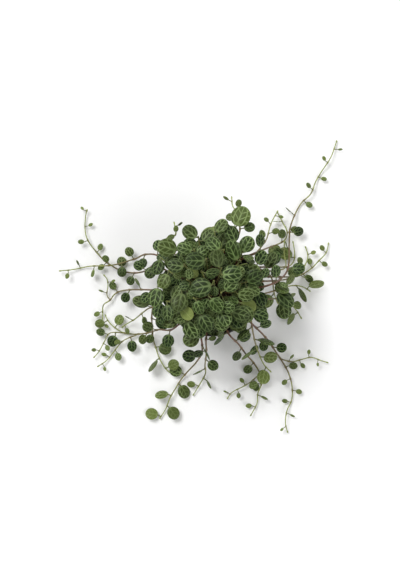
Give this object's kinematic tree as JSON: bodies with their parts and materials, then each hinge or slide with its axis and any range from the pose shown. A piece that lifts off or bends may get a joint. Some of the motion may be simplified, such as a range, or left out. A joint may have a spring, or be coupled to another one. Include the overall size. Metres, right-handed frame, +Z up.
{
  "type": "potted string of turtles",
  "caption": "Trailing house plant with thin creeping stems and round, marbled, fleshy leaves, growing in a small tapered nursery pot.",
  "frame": {"origin": "middle of the pot's flat underside", "axes": "+Z up the pot's axis; +Y towards the side that the crown leans to"},
  "size_m": [0.1971, 0.2042, 0.0908],
  "materials": {
    "pot_plastic": "matt dark brown-black moulded plastic",
    "potting_mix": "damp peat with pale grit",
    "leaf": "waxy fleshy leaf, dark green with pale veins, pale lime underneath",
    "stem": "smooth reddish brown to pale green stem"
  },
  "bodies": {
    "root": {"pot": "pot_plastic", "soil": "potting_mix", "vine_lower_left_arc": "leaf", "vine_left_middle": "leaf", "vine_lower_left_short": "leaf", "vine_lower_left_forked": "leaf", "vine_left_high": "leaf", "vine_left_long": "leaf", "vine_upper_left_short": "leaf", "vine_top_level": "leaf", "vine_top_tall": "leaf", "vine_upper_right_inner": "leaf", "vine_upper_right_short": "leaf", "vine_right_brown": "leaf", "vine_upper_right_leaning": "leaf", "vine_upper_right_straight": "leaf", "vine_right_far_tip": "leaf", "vine_right_fork_tip": "leaf", "vine_upper_right_long": "leaf", "vine_right_leafy": "leaf", "vine_right_low": "leaf", "vine_lower_right_long": "leaf", "vine_lower_right_curl": "leaf", "vine_bottom_short": "leaf", "vine_bottom_long": "leaf", "vine_over_crown": "leaf", "crown_shoot_01": "leaf", "crown_shoot_02": "leaf", "crown_shoot_03": "leaf", "crown_shoot_04": "leaf", "crown_shoot_05": "leaf", "crown_shoot_06": "leaf", "crown_shoot_07": "leaf", "crown_shoot_08": "leaf", "crown_shoot_09": "leaf", "crown_shoot_10": "leaf", "crown_shoot_11": "leaf", "crown_shoot_12": "leaf", "crown_shoot_13": "leaf", "crown_shoot_14": "leaf", "crown_shoot_15": "leaf", "crown_shoot_16": "leaf", "crown_shoot_17": "leaf", "crown_shoot_18": "leaf", "crown_shoot_19": "leaf", "crown_shoot_20": "leaf", "crown_shoot_21": "leaf", "crown_shoot_22": "leaf", "crown_shoot_23": "leaf", "crown_shoot_24": "leaf", "crown_shoot_25": "leaf", "crown_shoot_26": "leaf", "crown_shoot_27": "leaf", "crown_shoot_28": "leaf", "crown_shoot_29": "leaf", "crown_shoot_30": "leaf", "crown_shoot_31": "leaf", "crown_shoot_32": "leaf", "crown_shoot_33": "leaf", "crown_shoot_34": "leaf"}
  },
  "joints": []
}
